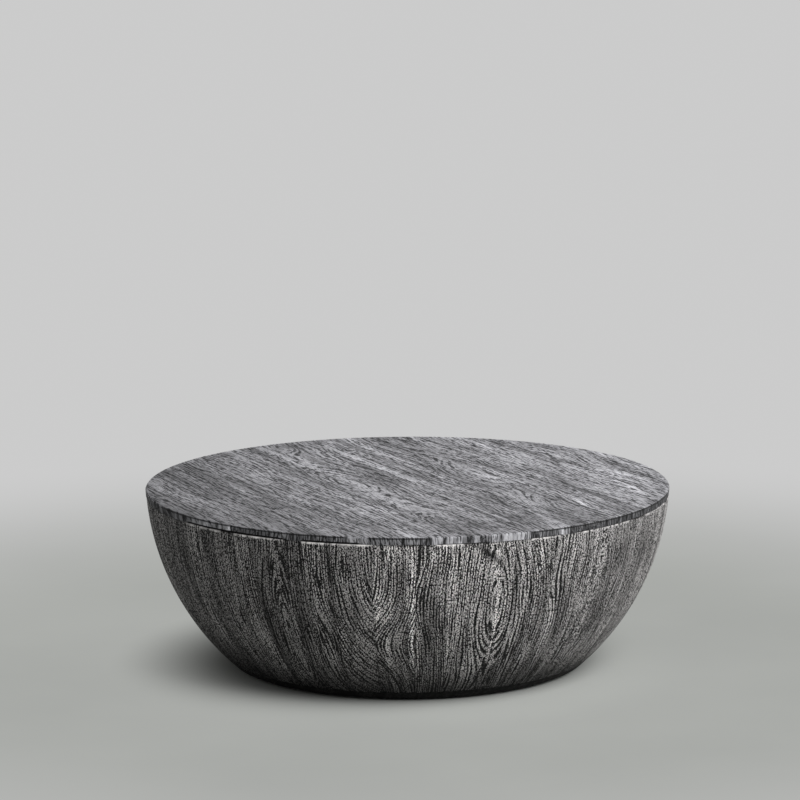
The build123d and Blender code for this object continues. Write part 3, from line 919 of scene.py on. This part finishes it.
# Pale and dark places, from left to right: across, along, half width, half length, lean and
# strength
TOP_SPOTS = (
    # Broad shades
    (-420, -180, 60, 80, 0, -0.3),
    (-400, 20, 60, 60, 0, 0.2),
    (-330, -330, 90, 90, 0, -0.32),
    (-215, -300, 110, 60, 0, -0.12),
    (-150, -165, 40, 80, 0, 0.15),
    (-150, 380, 40, 70, 0, -0.12),
    (-60, 400, 65, 70, 0, -0.28),
    (-35, 410, 30, 26, 0, -0.45),
    (60, -330, 60, 60, 0, -0.12),
    (90, -160, 40, 80, 0, -0.12),
    # Painted shade along the front, holding down the lamp's light there
    (120, -400, 300, 105, 0, -0.28),
    (160, -15, 30, 45, 0, 0.6),
    (200, 370, 35, 70, 0, -0.15),
    (205, -165, 35, 80, 0, 0.2),
    (380, -330, 60, 60, 0, -0.12),
    # Streaks and small clouds
    (-345, 55, 14, 26, 0, -0.5),
    (-315, -100, 9, 85, 0, -0.45),
    (-315, 285, 14, 16, 0, -0.5),
    (-275, 60, 5, 80, 0, 0.4),
    (-220, -150, 11, 40, 0, -0.45),
    (-205, -295, 9, 46, 0, -0.5),
    (-205, 45, 10, 40, 0, -0.45),
    (-175, 385, 20, 20, 0, -0.45),
    (-125, -185, 24, 28, 0, 0.35),
    (-95, 295, 5, 90, 0, 0.4),
    (-62, -98, 4, 60, -0.18, -0.6),
    (-58, 65, 14, 42, 0, -0.4),
    (-45, -360, 24, 38, 0, -0.35),
    (-45, -235, 11, 30, 0, 0.4),
    (-40, 195, 4, 50, 0, 0.4),
    (1, 180, 5, 70, 0, -0.5),
    (23, 300, 7, 110, 0.03, 0.6),
    (24, 120, 6, 60, 0, 0.4),
    (25, -305, 4, 85, 0, -0.6),
    (25, 20, 14, 28, 0, 0.45),
    (45, -235, 5, 125, 0, 0.5),
    (45, 52, 12, 6, -0.5, -0.4),
    (60, -160, 6, 40, 0, -0.7),
    (75, -325, 6, 60, 0, -0.5),
    (104, -60, 10, 50, -0.2, -0.6),
    (115, -215, 10, 40, 0, 0.35),
    (158, -155, 5, 32, -0.15, -0.6),
    (195, -255, 7, 60, 0.1, 0.4),
    (195, 80, 9, 45, -0.15, -0.6),
    (245, -205, 5, 60, 0, -0.65),
    (245, 35, 8, 34, 0, -0.45),
    (275, 260, 9, 45, 0, 0.35),
    (325, -205, 10, 60, 0, 0.45),
    (325, 150, 9, 40, -0.2, -0.4),
    (330, 75, 13, 18, 0, -0.7),
    (355, -75, 14, 50, 0, 0.4),
)


def azimuth_of(across, along):
    """Azimuth of a place on the planks."""
    turned = np.arctan2(across, -along) + GRAIN_TURN
    return np.degrees((turned + math.pi) % math.tau - math.pi)


# Paler and flatter than the wall's finish: partly the top's grey lime, partly painted sheen
top_finish = brushed_wood(
    "grey_limed_top_and_painted_sheen",
    stain=(0.022, 0.022, 0.0235),
    lime=(0.352, 0.35, 0.369),
    share=(0.1, 0.82),
    bead=TOP_BEAD,
    wax=0.6,
    gloss=0.25,
)
for number, node in enumerate(numbered("top_plank_"), 1):
    seed = TOP_SEED + PLANK_SEEDS * number
    low, high = plank_edges(node)
    proud = PROUD if number == 1 else 0
    face_radius = float(wall_radius(table_top)) - TOP_ARRIS + proud
    inner = low > -face_radius + SIDE_MARGIN and high < face_radius - SIDE_MARGIN
    across, along = plank_grid(low - proud, high, face_radius, TOP_COLUMN, TOP_ROW)
    pith = chosen_pith(TOP_PITHS[number - 1], (low + high) / 2)
    ring, steep = ring_radius(across, along, 0, pith, seed)
    carve = brushed(ring, steep, across, along, TOP_PITCH, TOP_FULL, seed)
    to_seam = np.minimum(abs(across - low), abs(high - across))
    seam = np.exp(-((to_seam / SEAM_WIDTH) ** 2))
    seam = seam * (np.hypot(across, along) < face_radius - SEAM_STOP)
    face = plan(across, along, table_top - TOP_RELIEF * (1 - carve) - TOP_SEAM_DEPTH * seam)
    tone = growth_tone(ring, across, along, TOP_BAND, seed) * (1 - 0.25 * seam)
    tone = tone * TOP_TONES[number - 1]
    tone = tone * smudges(across / MM, along / MM, TOP_SPOTS)
    grain = fleck_places(number, across, along, ring)

    # What the edge is like at each point round the plank
    rim_across, rim_along, on_rim = plank_border(across, along, face_radius, TOP_COLUMN)
    rim_azimuth = azimuth_of(rim_across, rim_along)
    gap = joint_gap(rim_azimuth)
    mouth = MM * (0.1 + gap * (0.9 + 2.1 * within(rim_azimuth, WIDE_JOINT, 2)))
    seams = [place for place in (low, high) if abs(place) < face_radius]
    to_seam = np.min([abs(rim_across - place) for place in seams], 0)
    slit = np.exp(-((to_seam / SLIT_WIDTH) ** 2))
    slit = slit * (0.4 + 0.6 * within(rim_azimuth, OPEN_SLITS, 0.5))
    edge_tone = np.full_like(rim_azimuth, EDGE_TONE)
    for start, end, stretch_tone in EDGE_TONES:
        edge_tone += (stretch_tone - EDGE_TONE) * within(rim_azimuth, ((start, end),), 0.4)
    patches = noise(rim_azimuth / EDGE_PATCH, 0, EDGE_PATCH_SEED)
    edge_tone *= 0.65 + 0.7 * step(patches, 0.25, 0.75)
    edge_tone *= 1 - 0.9 * slit
    black_arris = within(rim_azimuth, BLACK_ARRIS, 0.5)
    pale_arris = within(rim_azimuth, PALE_ARRIS, 2)

    # The laps from the arris down to the joint, and two more under the board to the wall
    laps, carves, grains, tones = [], [], [], []
    for share in np.linspace(0, 1, EDGE_LAPS):
        height = table_top - TOP_ARRIS - share * (table_top - TOP_ARRIS - wall_top - mouth)
        drop = table_top - height
        lap_ring, lap_carve = edge_grain(rim_across, rim_along, drop, pith, seed)
        lap_carve = 0.3 + 0.4 * lap_carve
        sunk = EDGE_RELIEF * (1 - lap_carve) + SLIT_DEPTH * slit
        radius = wall_radius(height) + proud - sunk
        laps.append(rim_lap(rim_across, rim_along, inner, on_rim, radius, height))
        carves.append(lap_carve)
        grains.append(fleck_places(number, rim_across, rim_along + drop, lap_ring))
        lap_tone = growth_tone(lap_ring, rim_across, rim_along, TOP_BAND, seed)
        tones.append(lap_tone * edge_tone)
    # The arris is black in places and pale in others, and the open joint is darkened inside as
    # painted shade
    tones[0] = tones[0] * (1 - 0.95 * black_arris + 1.2 * pale_arris)
    tones[1] = tones[1] * (1 - 0.8 * black_arris)
    shaded = tones[-1] * (1 - 0.9 * gap)
    foot = height - UNDERCUT_HEIGHT
    for height, back in ((foot, UNDERCUT), (wall_top, 1.2 * mouth + UNDERCUT)):
        radius = wall_radius(height) - back
        laps.append(rim_lap(rim_across, rim_along, inner, on_rim, radius, height))
        carves.append(carves[-1])
        grains.append(grains[-1])
        tones.append(shaded)
    bares = np.broadcast_to(0.2 * (edge_tone > PALE_TONE), (len(laps), len(rim_across)))
    looks = {
        "grain": (grain, np.array(grains)),
        "carve": (carve, np.array(carves)),
        "tone": (tone, np.array(tones)),
        "bare_and_sheen": (0 * tone, bares),
    }
    piece = carved_block(f"top_board_plank_{number:02d}", face, np.array(laps), looks)
    fit(piece, node, top_finish)


# --- Floor, light and camera ----------------------------------------------------------------
# A plain pale floor, which fades to an even backdrop away from the table. One wide soft lamp
# lights it from the upper right, and an even sky does the rest.
SKY_LIGHT = 0.29
SEEN_SKY = 0.6
FLOOR_HALF = 40
# How much of its paleness the floor throws back up, and where its shadows and its tint fade
# out, in metres from the table's axis
FLOOR_LIGHT = 0.7
SHADOW_FADES = (0.3, 0.52)
TINT_FADES = (0.7, 1.9)
floor_finish = Finish("pale_floor")
place = floor_finish.node("TexCoord", output="Object")
away = floor_finish.node("VectorMath", {"operation": "LENGTH"}, {0: place}, "Value")
dusty = floor_finish.node("TexNoise", {}, {"Vector": place, "Scale": 1.3, "Detail": 4})
tint = floor_finish.blend(dusty, (0.35, 0.36, 0.345, 1), (0.44, 0.45, 0.43, 1))
seen = floor_finish.seen()
shade = floor_finish.shaded(tint, FLOOR_LIGHT + (1 - FLOOR_LIGHT) * seen)
near_floor = floor_finish.node("BsdfDiffuse", {}, {"Color": shade})
plain = floor_finish.blend(away.above(*TINT_FADES), tint, (SEEN_SKY, SEEN_SKY, SEEN_SKY, 1))
far_floor = floor_finish.node("Emission", {}, {"Color": plain})
fade = away.above(*SHADOW_FADES) * seen
shader = floor_finish.node("MixShader", {}, {0: fade, 1: near_floor, 2: far_floor})
floor_finish.node("OutputMaterial", {}, {"Surface": shader})
floor_mesh = bpy.data.meshes.new("floor")
corners = [(x * FLOOR_HALF, y * FLOOR_HALF, 0) for x, y in ((-1, -1), (1, -1), (1, 1), (-1, 1))]
floor_mesh.from_pydata(corners, [], [(0, 1, 2, 3)])
floor_mesh.materials.append(floor_finish.material)
floor = bpy.data.objects.new("floor", floor_mesh)
bpy.context.scene.collection.objects.link(floor)

# The lamp, with its size in metres and its power in watts
LAMP_PLACE = Vector((3.0, -2.5, 3.5))
LAMP_TARGET = Vector((0, 0, 0.2))
lamp = bpy.data.lights.new("key", "AREA")
lamp.size = 3.9
lamp.energy = 370
key = bpy.data.objects.new("key", lamp)
bpy.context.scene.collection.objects.link(key)
aim = (LAMP_PLACE - LAMP_TARGET).to_track_quat("Z", "Y")
key.matrix_world = Matrix.Translation(LAMP_PLACE) @ aim.to_matrix().to_4x4()

sky = Finish("sky", bpy.data.worlds)
pale = sky.seen() * (SEEN_SKY - SKY_LIGHT) + SKY_LIGHT
background = sky.node("Background", {}, {"Color": (1, 1, 1, 1), "Strength": pale})
sky.node("OutputWorld", {}, {"Surface": background})
bpy.context.scene.world = sky.material

# The camera, with its lens and sensor in millimetres
CAMERA_PLACE = (0, -7.472, 1.776)
YAW, PITCH, ROLL = math.radians(0.0926), math.radians(10.06), math.radians(-0.2587)
camera = bpy.data.cameras.new("camera")
camera.lens = 201.6
camera.sensor_width = 36
camera.clip_end = 200
viewer = bpy.data.objects.new("camera", camera)
bpy.context.scene.collection.objects.link(viewer)
viewer.matrix_world = (
    Matrix.Translation(CAMERA_PLACE)
    @ Matrix.Rotation(YAW, 4, "Z")
    @ Matrix.Rotation(math.pi / 2 - PITCH, 4, "X")
    @ Matrix.Rotation(ROLL, 4, "Z")
)
bpy.context.scene.camera = viewer
bpy.context.scene.view_settings.view_transform = "Standard"
